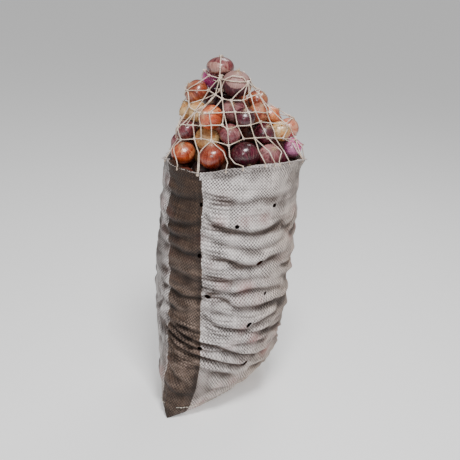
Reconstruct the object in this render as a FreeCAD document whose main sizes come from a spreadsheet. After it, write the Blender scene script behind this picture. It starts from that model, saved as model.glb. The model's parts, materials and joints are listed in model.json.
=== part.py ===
import FreeCAD, Part
import Sketcher
import math
import os

# A full, standing sack of onions: a woven body with a folded and sewn bottom, a folded
# mouth, a heap of onions above the mouth, and a knotted twine net laced over the heap.
# X runs along the bottom seam, the broad faces look along -Y and +Y, and +Z is up.
# The origin is the middle of the bottom fold, on the surface that the sack stands on.

doc = FreeCAD.newDocument("produce_bag")
Vector = FreeCAD.Vector

# ---- driving dimensions, in millimetres unless the name says otherwise ----------------
SIZES = {
    "mouth_radius": 158,        # the filled sack is round from here up
    "mouth_height": 597,        # top edge of the woven body
    "seam_half_length": 200,    # the flat sewn bottom, corner to middle
    "seam_half_width": 22.5,
    "taper_height": 300,        # the sack is round above this height
    "taper_power": 1.86,        # how quickly the broad faces fill out, no unit
    "lean": 0.053,              # sideways shift in X for each unit of height, no unit
    "wall": 2,
    "fold_thickness": 2.4,      # the bottom edge, folded under
    "fold_half_width": 20,
    "hem_depth": 16,            # the folded mouth
    "hem_thickness": 1.6,
    "vent_radius": 4.5,
    "stitch_diameter": 1.2,
    "stitch_length": 8,
    "stitch_pitch": 13,
    "stitch_height": 9,
    "stitch_stand_off": 2.6,    # the weave bulges about this much between its ovals
    "stitched_share": 0.94,     # of the seam's length, no unit
    "onion_small": 48,          # bulb diameters
    "onion_medium": 56,
    "onion_large": 65,
    "onion_flatness": 0.9,      # height of a bulb over its diameter, no unit
    "neck_seat": 0.8,           # the neck and root discs, as shares of a bulb's radius
    "neck_height": 0.19,
    "neck_foot_radius": 0.26,
    "neck_tip_radius": 0.1,
    "root_seat": 0.95,
    "root_height": 0.15,
    "root_radius": 0.16,
    "onion_pitch": 58,          # spacing of the onions inside the sack
    "twine_diameter": 2.6,
    "knot_diameter": 5.2,
    "net_columns": 20,          # bars round the lower net, no unit
    "lacing_below_hem": 4,      # the rim stitches reach this far under the hem
    "clearance": 0.4,
}
sheet = doc.addObject("Spreadsheet::Sheet", "Sizes")
for row, (alias, number) in enumerate(SIZES.items(), start=1):
    sheet.set(f"A{row}", alias)
    sheet.set(f"B{row}", str(number))
    sheet.setAlias(f"B{row}", alias)
doc.recompute()


def size(alias):
    return float(sheet.get(alias))


MOUTH_RADIUS = size("mouth_radius")
MOUTH_HEIGHT = size("mouth_height")
LEAN = size("lean")
WALL = size("wall")
FOLD = size("fold_thickness")
CLEAR = size("clearance")
TWINE_RADIUS = size("twine_diameter") / 2
KNOT_RADIUS = size("knot_diameter") / 2

nodes = []


def node(item, label):
    """Names a finished sub-part; its file takes the same name."""
    item.Label = label
    nodes.append(item)
    return item


def shaped(label, shape):
    """A sub-part whose shape is made directly, set down at the origin of the frame."""
    item = doc.addObject("Part::Feature", label)
    item.Shape = shape
    item.Placement = FreeCAD.Placement()
    return node(item, label)


def origin_plane(body, role):
    return next(f for f in body.Origin.OriginFeatures if f.Role == role)


# ---- the sack's outline at any height -------------------------------------------------
def half_axes(height):
    """Half length (X) and half width (Y) of the sack's oval section."""
    rise = min(max(height / size("taper_height"), 0), 1)
    power = size("taper_power")
    along = MOUTH_RADIUS + (size("seam_half_length") - MOUTH_RADIUS) * (1 - rise) ** 2
    fill = (1 - (1 - rise) ** power) ** (1 / power)
    across = size("seam_half_width") + (MOUTH_RADIUS - size("seam_half_width")) * fill
    return along, across


def on_sack(angle, height, outward=0):
    """A point on the sack's face; angle 0 is -X and 90 degrees is -Y."""
    along, across = half_axes(height)
    turn = math.radians(angle)
    return Vector(LEAN * height - (along + outward) * math.cos(turn),
                  -(across + outward) * math.sin(turn), height)


# ---- woven body -----------------------------------------------------------------------
TAPER_STEPS = 8
# Shares of the taper height, closer together near the seam, where the faces turn quickly.
TAPER_SHARES = [(step / TAPER_STEPS) ** 2 for step in range(TAPER_STEPS + 1)]
ABOVE_TAPER = "(Sizes.mouth_height - Sizes.taper_height)"


def section(name, share, above, inset, lift):
    """One oval of the body; share is of the taper, above is of the round stretch."""
    oval = doc.addObject("Part::Ellipse", name)
    across = (f"Sizes.seam_half_width + (Sizes.mouth_radius - Sizes.seam_half_width)"
              f" * (1 - (1 - {share})^Sizes.taper_power)^(1 / Sizes.taper_power)")
    along = f"Sizes.mouth_radius + (Sizes.seam_half_length - Sizes.mouth_radius) * (1 - {share})^2"
    height = f"({share} * Sizes.taper_height + {above} * {ABOVE_TAPER})"
    # The base oval comes first so that the long axis is never the shorter one meanwhile.
    oval.MajorRadius = 2 * size("seam_half_length")
    oval.setExpression("MinorRadius", f"{across} - {inset}")
    oval.setExpression("MajorRadius", f"{along} - {inset}")
    oval.setExpression("Placement.Base.x", f"Sizes.lean * {height}")
    oval.setExpression("Placement.Base.z", f"{height} + {lift}")
    return oval


def loft(name, inset, lift, tops):
    """A closed solid through the body's ovals, up to the given shares of the round stretch."""
    ovals = [section(f"{name}_taper_{step}", share, 0, inset, lift)
             for step, share in enumerate(TAPER_SHARES)]
    ovals += [section(f"{name}_round_{step}", 1, above, inset, lift)
              for step, above in enumerate(tops)]
    solid = doc.addObject("Part::Loft", name)
    solid.Sections = ovals
    solid.Solid = True
    solid.Ruled = False
    solid.MaxDegree = 3
    return solid


VENT_REACH = 10             # of the pin that cuts a hole, each side of the sack's face
# Vent holes punched through the weave: angle round the sack in degrees, height.
# The far side has the same holes, half a turn on.
VENTS = [(9, 520), (39, 479), (71, 520), (11, 401), (61, 389),
         (20, 308), (71, 308), (58, 237), (20, 179), (68, 125)]


def vent_cutter(name, angle, height):
    """A short pin that crosses the wall square to it."""
    outer = on_sack(angle, height, outward=VENT_REACH)
    inner = on_sack(angle, height, outward=-VENT_REACH)
    pin = doc.addObject("Part::Cylinder", name)
    pin.setExpression("Radius", "Sizes.vent_radius")
    pin.Height = (outer - inner).Length
    pin.Placement = FreeCAD.Placement(inner, FreeCAD.Rotation(Vector(0, 0, 1), outer - inner))
    return pin


def build_body():
    outside = loft("outside", "0", "Sizes.fold_thickness", (0.25, 0.5, 0.75, 1))
    inside = loft("inside", "Sizes.wall", "(Sizes.fold_thickness + Sizes.wall)",
                  (0.25, 0.5, 0.75, 1, 1.25))
    shell = doc.addObject("Part::Cut", "shell")
    shell.Base = outside
    shell.Tool = inside
    pins = [vent_cutter(f"vent_{side}_{hole}", angle + 180 * side, height)
            for side in range(2) for hole, (angle, height) in enumerate(VENTS)]
    vents = doc.addObject("Part::Compound", "vents")
    vents.Links = pins
    body = doc.addObject("Part::Cut", "sack_body")
    body.Base = shell
    body.Tool = vents
    node(body, "sack_body")


# ---- bottom fold and its stitches -----------------------------------------------------
def build_bottom_fold():
    body = doc.addObject("PartDesign::Body", "bottom_fold")
    sketch = body.newObject("Sketcher::SketchObject", "fold_outline")
    sketch.AttachmentSupport = [(origin_plane(body, "XY_Plane"), "")]
    sketch.MapMode = "FlatFace"
    long_half = size("seam_half_length")
    short_half = size("fold_half_width")
    oval = sketch.addGeometry(
        Part.Ellipse(Vector(long_half, 0, 0), Vector(0, short_half, 0), Vector(0, 0, 0)), False)
    sketch.exposeInternalGeometry(oval)
    doc.recompute()
    pad = body.newObject("PartDesign::Pad", "fold_pad")
    pad.Profile = sketch
    pad.setExpression("Length", "Sizes.fold_thickness")
    node(body, "bottom_fold")


def build_bottom_stitches():
    """Short straight stitches along the seam on both broad faces, just clear of the weave."""
    radius = size("stitch_diameter") / 2
    height = size("stitch_height")
    rise = height - FOLD
    along, across = half_axes(rise)
    stand_off = radius + size("stitch_stand_off") + CLEAR
    count = int(2 * along * size("stitched_share") / size("stitch_pitch"))
    stitches = []
    for face in (-1, 1):
        for step in range(count):
            x = (step - (count - 1) / 2) * size("stitch_pitch")
            reach = across * math.sqrt(1 - (x / along) ** 2)
            slope = -face * across ** 2 * x / (along ** 2 * reach)
            run = Vector(1, slope, 0).normalize()
            outward = Vector(-run.y, run.x, 0) * face
            middle = Vector(x + LEAN * rise, face * reach, height) + outward * stand_off
            start = middle - run * (size("stitch_length") / 2)
            stitch = doc.addObject("Part::Cylinder", "stitch")
            stitch.setExpression("Radius", "Sizes.stitch_diameter / 2")
            stitch.setExpression("Height", "Sizes.stitch_length")
            stitch.Placement = FreeCAD.Placement(start, FreeCAD.Rotation(Vector(0, 0, 1), run))
            stitches.append(stitch)
    group = doc.addObject("Part::Compound", "bottom_stitches")
    group.Links = stitches
    node(group, "bottom_stitches")


# ---- mouth hem ------------------------------------------------------------------------
def build_mouth_hem():
    """The mouth's fold: a channel turned over the body's top edge, inside and outside."""
    body = doc.addObject("PartDesign::Body", "mouth_hem")
    sketch = body.newObject("Sketcher::SketchObject", "hem_section")
    sketch.AttachmentSupport = [(origin_plane(body, "XZ_Plane"), "")]
    sketch.MapMode = "FlatFace"
    # The body leans, so each leg of the channel stands off by its shift over the hem's depth.
    stand_off = CLEAR + LEAN * size("hem_depth")
    cloth = size("hem_thickness")
    inner = MOUTH_RADIUS - WALL - stand_off
    outer = MOUTH_RADIUS + stand_off
    roof = MOUTH_HEIGHT + FOLD + CLEAR
    floor = roof - size("hem_depth")
    corners = [(inner - cloth, floor), (inner, floor), (inner, roof), (outer, roof),
               (outer, floor), (outer + cloth, floor), (outer + cloth, roof + cloth),
               (inner - cloth, roof + cloth)]
    points = [Vector(x, z, 0) for x, z in corners]
    for start, end in zip(points, points[1:] + points[:1]):
        sketch.addGeometry(Part.LineSegment(start, end), False)
    for edge in range(len(points)):
        sketch.addConstraint(Sketcher.Constraint("Coincident", edge, 2, (edge + 1) % len(points), 1))
    doc.recompute()
    turn = body.newObject("PartDesign::Revolution", "hem_turn")
    turn.Profile = sketch
    turn.ReferenceAxis = (sketch, ["V_Axis"])
    turn.Angle = 360
    body.setExpression("Placement.Base.x", "Sizes.lean * (Sizes.mouth_height - Sizes.hem_depth / 2)")
    node(body, "mouth_hem")
    return roof + cloth


# ---- where the onions lie -------------------------------------------------------------
SMALL = size("onion_small")
MEDIUM = size("onion_medium")
LARGE = size("onion_large")
PITCH = size("onion_pitch")

# The heap above the mouth, from the lowest ring to the top: rough centre and bulb diameter.
# The onions are then nudged apart until none overlap.
HEAP = [
    # lowest ring, half sunk in the mouth
    (-71, 68, 612, MEDIUM), (-86, -20, 622, LARGE), (-49, -77, 632, LARGE), (9, -112, 628, MEDIUM),
    (54, -112, 608, SMALL), (92, -120, 624, SMALL), (137, -68, 616, MEDIUM), (153, -10, 616, LARGE),
    (141, 52, 616, MEDIUM), (100, 98, 616, LARGE), (44, 118, 616, MEDIUM), (-14, 110, 616, MEDIUM),
    # second ring
    (-62, 68, 658, SMALL), (-50, 18, 648, MEDIUM), (-50, -50, 672, SMALL), (18, -84, 678, SMALL),
    (60, -106, 666, SMALL), (107, -104, 662, SMALL), (120, -50, 662, MEDIUM), (126, 8, 664, MEDIUM),
    (104, 62, 662, MEDIUM), (54, 90, 664, MEDIUM), (2, 104, 662, SMALL),
    # third ring
    (-59, 11, 700, MEDIUM), (-40, 54, 704, SMALL), (-22, -52, 702, SMALL), (22, -72, 696, SMALL),
    (79, -64, 694, SMALL), (-20, 96, 694, SMALL), (-5, -26, 712, MEDIUM), (49, -46, 722, SMALL),
    (88, -14, 706, SMALL), (88, 34, 708, MEDIUM), (52, 66, 712, MEDIUM),
    # fourth ring and the top onion
    (-9, 75, 736, MEDIUM), (24, 62, 764, SMALL), (-4, -22, 768, LARGE), (50, -6, 750, SMALL),
    (62, 32, 754, SMALL), (12, 34, 804, LARGE),
]
TOP_ONION = len(HEAP) - 1

# Layers of onions inside the sack, bottom to top, four to a group, and the heap's hidden core.
LAYERS = 10
LOWEST_LAYER = 38
LAYERS_IN_GROUP = 4
CORE = [(602, 60, 7), (602, 0, 1), (650, 36, 4), (690, 0, 1)]   # height, ring radius, count


def oval_ring(along, across, count, turn):
    """Evenly spaced points on an oval, the first one turned by a share of the spacing."""
    steps = [2 * math.pi * (i + turn) / count for i in range(count)]
    return [(along * math.cos(a), across * math.sin(a)) for a in steps]


def layer_centres(height, turn):
    """Oval rings of onions one inside the other, with a straight row down the middle."""
    along, across = half_axes(height - FOLD - 0.3 * MEDIUM)
    along -= WALL + MEDIUM / 2
    across -= WALL + MEDIUM / 2
    places = []
    while across > 0.55 * PITCH:
        around = math.pi * (3 * (along + across) - math.sqrt((3 * along + across) * (along + 3 * across)))
        places += oval_ring(along, across, int(around / PITCH - 0.5), turn)
        along -= PITCH
        across -= PITCH
    if across >= 0:
        count = max(int(2 * along / PITCH), 1)
        places += [((step - (count - 1) / 2) * PITCH, 0) for step in range(count)]
    return [(LEAN * height + x, y, height) for x, y in places]


class Bulb:
    """An onion's place and size; an anchored one gives way less than the others."""

    def __init__(self, centre, diameter, anchored, group):
        self.centre = Vector(*centre)
        self.radius = diameter / 2
        self.give = 0.15 if anchored else 1.0
        self.group = group


def all_bulbs():
    bulbs = [Bulb(entry[:3], entry[3], True, "heap") for entry in HEAP]
    for layer in range(LAYERS):
        height = LOWEST_LAYER + layer * PITCH
        for centre in layer_centres(height, 0.5 * (layer % 2)):
            bulbs.append(Bulb(centre, MEDIUM, False, f"inner_onions_{layer // LAYERS_IN_GROUP + 1}"))
    for height, ring, count in CORE:
        for x, y in oval_ring(ring, ring, count, 0.25):
            bulbs.append(Bulb((LEAN * height + x, y, height), SMALL, False, "core_onions"))
    return bulbs


def keep_inside(bulb):
    """Pushes a bulb in from the woven wall and up from the floor."""
    floor = FOLD + WALL + CLEAR + bulb.radius
    bulb.centre.z = max(bulb.centre.z, floor)
    for tilt in range(-75, 90, 15):
        height = bulb.centre.z + bulb.radius * math.sin(math.radians(tilt))
        if not FOLD + WALL < height < HEM_TOP:
            continue
        along, across = half_axes(height - FOLD - WALL)
        inset = WALL + size("hem_thickness") + LEAN * size("hem_depth") + 4 * CLEAR
        along -= inset
        across -= inset
        x = bulb.centre.x - LEAN * height
        y = bulb.centre.y
        slope = Vector(x / along ** 2, y / across ** 2, 0)
        if slope.Length < 1e-9:
            continue
        slope.normalize()
        reach = bulb.radius * math.cos(math.radians(tilt))
        far = Vector(x, y, 0) + slope * reach
        excess = math.hypot(far.x / along, far.y / across)
        if excess > 1:
            bulb.centre -= slope * (far.Length * (1 - 1 / excess))


def settle(bulbs, rounds=160):
    """Nudges overlapping bulbs apart and back inside the sack."""
    for _ in range(rounds):
        for i, first in enumerate(bulbs):
            for second in bulbs[:i]:
                gap = second.centre - first.centre
                if abs(gap.z) > LARGE:
                    continue
                reach = first.radius + second.radius + CLEAR
                apart = gap.Length
                if apart < reach:
                    push = gap * ((reach - apart) / max(apart, 0.1) / (first.give + second.give))
                    first.centre -= push * first.give
                    second.centre += push * second.give
            keep_inside(first)
    return bulbs


# ---- one onion ------------------------------------------------------------------------
def onion(bulb, number):
    """A flattened bulb with a short neck and a root disc, all within the bulb's diameter."""
    name = f"onion_{number}"
    sizes = {SMALL: "Sizes.onion_small", MEDIUM: "Sizes.onion_medium", LARGE: "Sizes.onion_large"}
    wide = f"{sizes[bulb.radius * 2]} / 2"
    body = doc.addObject("Part::Ellipsoid", f"{name}_bulb")
    body.setExpression("Radius1", f"{wide} * Sizes.onion_flatness")
    body.setExpression("Radius2", wide)
    body.setExpression("Radius3", wide)
    neck = doc.addObject("Part::Cone", f"{name}_neck")
    neck.setExpression("Radius1", f"{wide} * Sizes.neck_foot_radius")
    neck.setExpression("Radius2", f"{wide} * Sizes.neck_tip_radius")
    neck.setExpression("Height", f"{wide} * Sizes.neck_height")
    neck.setExpression("Placement.Base.z", f"{wide} * Sizes.neck_seat")
    root = doc.addObject("Part::Cylinder", f"{name}_root")
    root.setExpression("Radius", f"{wide} * Sizes.root_radius")
    root.setExpression("Height", f"{wide} * Sizes.root_height")
    root.setExpression("Placement.Base.z", f"{wide} * -Sizes.root_seat")
    whole = doc.addObject("Part::MultiFuse", name)
    whole.Shapes = [body, neck, root]
    # Each onion lies its own way round; the turns are spread by fixed steps.
    lie = FreeCAD.Rotation(Vector(0, 0, 1), 137.5 * number) * \
        FreeCAD.Rotation(Vector(1, 0, 0), 20 + 50 * (number * 0.37 % 1))
    whole.Placement = FreeCAD.Placement(bulb.centre, lie)
    return whole


def build_onions(bulbs):
    groups = {}
    for number, bulb in enumerate(bulbs):
        item = onion(bulb, number)
        if bulb.group == "heap":
            node(item, "top_onion" if number == TOP_ONION else f"heap_onion_{number + 1:02d}")
        else:
            groups.setdefault(bulb.group, []).append(item)
    for group, items in groups.items():
        bundle = doc.addObject("Part::Compound", group)
        bundle.Links = items
        node(bundle, group)


# ---- the net --------------------------------------------------------------------------
NET_COLUMNS = int(size("net_columns"))
CROWN_EVERY = 3                           # one crown strand for this many knots of the top row
BEND_SPACING = 13                         # between the bends of the twine over the onions
# Rows of the net from the mouth up: height and number of knots.
NET_ROWS = [(638, NET_COLUMNS), (674, NET_COLUMNS), (708, NET_COLUMNS), (740, NET_COLUMNS // 2),
            (772, NET_COLUMNS // 2)]
HEAP_FOOT = Vector(LEAN * 600, 0, 600)
HEAP_PEAK = Vector(12, 28, 800)
GATHER_DIRECTION = math.radians(190)      # the gathering knot faces this way round the heap


class Drape:
    """The tight skin over a set of bulbs, found from its flat tangent planes."""

    def __init__(self, bulbs, stand_off):
        self.planes = []
        for tilt in range(-20, 91, 10):
            for turn in range(0, 360, 10):
                level = math.cos(math.radians(tilt))
                normal = Vector(level * math.cos(math.radians(turn)),
                                level * math.sin(math.radians(turn)), math.sin(math.radians(tilt)))
                reach = max(b.centre.dot(normal) + b.radius for b in bulbs) + stand_off
                self.planes.append((normal, reach))

    def beyond(self, start, direction):
        """The point where a ray from inside leaves the skin."""
        least = min((reach - start.dot(normal)) / direction.dot(normal)
                    for normal, reach in self.planes if direction.dot(normal) > 0.1)
        return start + direction * least


def heap_axis(height):
    return HEAP_FOOT + (HEAP_PEAK - HEAP_FOOT) * ((height - HEAP_FOOT.z) / (HEAP_PEAK.z - HEAP_FOOT.z))


def on_net(skin, height, turn):
    return skin.beyond(heap_axis(height), Vector(math.cos(turn), math.sin(turn), 0))


def bent_tube(points, radius):
    """Straight round runs of twine, mitred where they bend."""
    route = Part.makePolygon(points)
    disc = Part.Wire(Part.makeCircle(radius, points[0], points[1] - points[0]))
    sweep = Part.BRepOffsetAPI.MakePipeShell(route)
    sweep.setTransitionMode(1)
    sweep.add(disc)
    sweep.build()
    sweep.makeSolid()
    return sweep.shape()


def net_knots(skin):
    """Knot centres, row by row."""
    rows = []
    for height, count in NET_ROWS:
        turns = [2 * math.pi * step / count + GATHER_DIRECTION for step in range(count)]
        rows.append([on_net(skin, height, turn) for turn in turns])
    return rows


def over_onions(skin, start, end):
    """Points from one knot to the next that follow the heap's skin."""
    parts = max(round((end - start).Length / BEND_SPACING), 1)
    points = [start]
    for step in range(1, parts):
        through = start + (end - start) * (step / parts)
        axis = heap_axis(through.z)
        points.append(skin.beyond(axis, (through - axis).normalize()))
    return points + [end]


def shortened(points):
    """Ends a bar just clear of the knots at its two ends."""
    reach = KNOT_RADIUS + CLEAR
    first = points[0] + (points[1] - points[0]).normalize() * reach
    last = points[-1] + (points[-2] - points[-1]).normalize() * reach
    return [first] + points[1:-1] + [last]


def bar(skin, low, high):
    """A bar of the net, bent over the onions between two knots."""
    return bent_tube(shortened(over_onions(skin, low, high)), TWINE_RADIUS)


def build_rows(skin, rows):
    for number, knots in enumerate(rows, start=1):
        balls = [Part.makeSphere(KNOT_RADIUS, knot) for knot in knots]
        bars = [bar(skin, here, there) for here, there in zip(knots, knots[1:] + knots[:1])]
        shaped(f"net_row_{number}", Part.makeCompound(balls + bars))


def build_bars(skin, rows):
    """Upright bars: mouth to first row, then row to row."""
    mouth = []
    for knot in rows[0]:
        outward = Vector(knot.x - LEAN * HEM_TOP, knot.y, 0).normalize()
        rim = Vector(LEAN * HEM_TOP, 0, HEM_TOP + KNOT_RADIUS + TWINE_RADIUS) + outward * MOUTH_RADIUS
        mouth.append(rim)
    tiers = [mouth] + rows
    for number, (lower, upper) in enumerate(zip(tiers, tiers[1:]), start=1):
        step = len(lower) // len(upper)
        bars = [bar(skin, lower[i * step], knot) for i, knot in enumerate(upper)]
        shaped(f"net_bars_{number}", Part.makeCompound(bars))
    return mouth


def build_crown(bulbs, neck_row):
    """Four strands from the top row, over the top onion, to one knot."""
    top = bulbs[TOP_ONION]
    skin = Drape([top], TWINE_RADIUS + 2 * CLEAR)
    peak = skin.beyond(top.centre, Vector(0, 0, 1))
    strands = [Part.makeSphere(KNOT_RADIUS, peak)]
    for knot in neck_row[::CROWN_EVERY]:
        outward = Vector(knot.x - top.centre.x, knot.y - top.centre.y, 0).normalize()
        points = [knot]
        for tilt in (-10, 15, 40, 65):
            level = math.radians(tilt)
            direction = outward * math.cos(level) + Vector(0, 0, math.sin(level))
            points.append(skin.beyond(top.centre, direction))
        strands.append(bent_tube(shortened(points + [peak]), TWINE_RADIUS))
    shaped("crown_strands", Part.makeCompound(strands))


def build_rim_lacing(mouth):
    """Twine stitches over the mouth's fold, one under each bar of the net."""
    drop = size("hem_depth") + size("lacing_below_hem")
    stand_off = LEAN * size("hem_depth") + CLEAR
    reach = MOUTH_RADIUS + stand_off + size("hem_thickness") + CLEAR + TWINE_RADIUS
    stitches = []
    for rim in mouth:
        axis = Vector(LEAN * HEM_TOP, 0, 0)
        outward = Vector(rim.x - axis.x, rim.y, 0).normalize()
        low = axis + outward * (reach + LEAN * drop) + Vector(0, 0, HEM_TOP - drop)
        shoulder = axis + outward * reach + Vector(0, 0, HEM_TOP + CLEAR + TWINE_RADIUS)
        stitches.append(Part.makeSphere(KNOT_RADIUS, rim))
        stitches.append(bent_tube(shortened([rim, shoulder, low]), TWINE_RADIUS))
    shaped("rim_lacing", Part.makeCompound(stitches))


def build_net(bulbs):
    heap = [b for b in bulbs if b.group == "heap"]
    # The straight twine between two bends cuts the corner of a round onion by this much.
    corner_cut = SMALL / 2 - math.sqrt((SMALL / 2) ** 2 - (BEND_SPACING / 2) ** 2)
    skin = Drape(heap[:TOP_ONION], TWINE_RADIUS + corner_cut + CLEAR)
    rows = net_knots(skin)
    build_rows(skin, rows)
    mouth = build_bars(skin, rows)
    build_rim_lacing(mouth)
    build_crown(bulbs, rows[-1])


# ---- build, check, write --------------------------------------------------------------
build_body()
build_bottom_fold()
build_bottom_stitches()
HEM_TOP = build_mouth_hem()
BULBS = settle(all_bulbs())
build_onions(BULBS)
build_net(BULBS)
doc.recompute()

for item in doc.Objects:
    if "Invalid" in item.State or "Error" in item.State:
        raise RuntimeError(f"{item.Label} failed: {item.State}")
for item in nodes:
    if item.Shape.isNull() or not item.Shape.isValid():
        raise RuntimeError(f"{item.Label} has no sound shape")

os.makedirs("parts", exist_ok=True)
for item in nodes:
    item.Shape.exportStep(f"parts/{item.Label}.step")
print(len(nodes), "nodes written")
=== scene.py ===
import json
import math
import random

import bpy
import numpy as np
from mathutils import Matrix, Vector


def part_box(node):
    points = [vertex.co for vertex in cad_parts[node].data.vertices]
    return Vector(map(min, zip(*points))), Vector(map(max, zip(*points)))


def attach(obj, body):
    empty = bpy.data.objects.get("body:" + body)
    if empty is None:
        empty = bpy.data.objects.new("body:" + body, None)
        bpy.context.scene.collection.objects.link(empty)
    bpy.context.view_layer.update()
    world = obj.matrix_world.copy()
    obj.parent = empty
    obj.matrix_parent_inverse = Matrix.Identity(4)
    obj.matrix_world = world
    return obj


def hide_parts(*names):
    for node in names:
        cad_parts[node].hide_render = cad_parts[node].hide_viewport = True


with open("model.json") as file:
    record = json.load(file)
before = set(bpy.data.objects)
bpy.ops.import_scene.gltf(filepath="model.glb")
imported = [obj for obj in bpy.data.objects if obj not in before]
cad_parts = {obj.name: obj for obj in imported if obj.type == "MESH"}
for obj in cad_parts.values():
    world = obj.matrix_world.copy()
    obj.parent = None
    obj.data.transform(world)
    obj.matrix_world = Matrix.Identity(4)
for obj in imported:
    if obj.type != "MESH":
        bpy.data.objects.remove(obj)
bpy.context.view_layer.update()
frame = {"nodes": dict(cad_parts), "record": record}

# A standing woven sack of onions under a laced twine net. Metres, same frame as the CAD:
# X along the bottom seam, the broad faces look along -Y and +Y, +Z up.

# ---- sizes shared by the pieces -------------------------------------------------------
SEAM_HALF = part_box("bottom_fold")[1][0]          # half the sewn bottom edge
FOLD_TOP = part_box("bottom_fold")[1][2]           # the body starts here
MOUTH_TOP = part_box("sack_body")[1][2]            # top edge of the woven body
HEM_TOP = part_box("mouth_hem")[1][2]
SEAM_HALF_WIDTH = 0.0225
FOLD_HALF_WIDTH = 0.020                          # the bottom edge, folded under
MOUTH_RADIUS = 0.158
TAPER_HEIGHT = 0.300                             # the sack is round above this height
TAPER_POWER = 1.86
LEAN = 0.053                                     # sideways shift for each metre of height
TWINE_RADIUS = 0.0013
rng = random.Random(7)


# ---- smooth seeded noise --------------------------------------------------------------
def lattice(i, j, seed):
    wild = np.sin(i * 127.1 + j * 311.7 + seed * 74.7) * 43758.5453
    return wild - np.floor(wild)


def noise(x, y, seed, around=None):
    """Value noise from 0 to 1; around makes it repeat after that many cells of x."""
    i, j = np.floor(x), np.floor(y)
    u, v = x - i, y - j
    u, v = u * u * (3 - 2 * u), v * v * (3 - 2 * v)
    i1 = i + 1
    if around:
        i, i1 = i % around, i1 % around
    low = lattice(i, j, seed) * (1 - u) + lattice(i1, j, seed) * u
    high = lattice(i, j + 1, seed) * (1 - u) + lattice(i1, j + 1, seed) * u
    return low * (1 - v) + high * v


def rough(x, y, seed, octaves=3, around=None):
    total, weight = 0, 0
    for k in range(octaves):
        scale = 2 ** k
        total = total + noise(x * scale, y * scale, seed + k, around and around * scale) / scale
        weight += 1 / scale
    return total / weight


def step(start, end, x):
    """From 0 at start to 1 at end, whichever of them is the larger."""
    t = np.clip((x - start) / (end - start), 0, 1)
    return t * t * (3 - 2 * t)


# ---- mesh helpers ---------------------------------------------------------------------
def grid_faces(rows, columns, closed=False):
    """Quads over a grid of points stored row by row."""
    faces = []
    for low in range(0, (rows - 1) * columns, columns):
        high = low + columns
        for c in range(columns if closed else columns - 1):
            d = (c + 1) % columns
            faces.append((low + c, low + d, high + d, high + c))
    return faces


def piece(name, verts, faces, material, slot, nodes=(), uvs=None, colours=None, place=None):
    """A mesh object that rides on the sack and stands for the named CAD nodes."""
    mesh = bpy.data.meshes.new(name)
    mesh.from_pydata([tuple(v) for v in verts], [], faces)
    if uvs is not None:
        layer = mesh.uv_layers.new(name="cloth")
        loops = np.empty(len(mesh.loops), dtype=np.int32)
        mesh.loops.foreach_get("vertex_index", loops)
        layer.data.foreach_set("uv", np.asarray(uvs)[loops].astype(np.float32).ravel())
    if colours is not None:
        attribute = mesh.attributes.new("skin", "FLOAT_COLOR", "POINT")
        attribute.data.foreach_set("color", np.asarray(colours, dtype=np.float32).ravel())
    mesh.polygons.foreach_set("use_smooth", [True] * len(mesh.polygons))
    mesh.materials.append(material)
    mesh.update()
    obj = bpy.data.objects.new(name, mesh)
    bpy.context.scene.collection.objects.link(obj)
    if place is not None:
        obj.matrix_world = place
    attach(obj, "root")
    if nodes:
        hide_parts(*nodes)
    return obj


def joined(parts):
    """Several (verts, faces) pairs as one."""
    verts, faces = [], []
    for part_verts, part_faces in parts:
        base = len(verts)
        verts.extend(part_verts)
        faces.extend(tuple(base + i for i in face) for face in part_faces)
    return verts, faces


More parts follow.
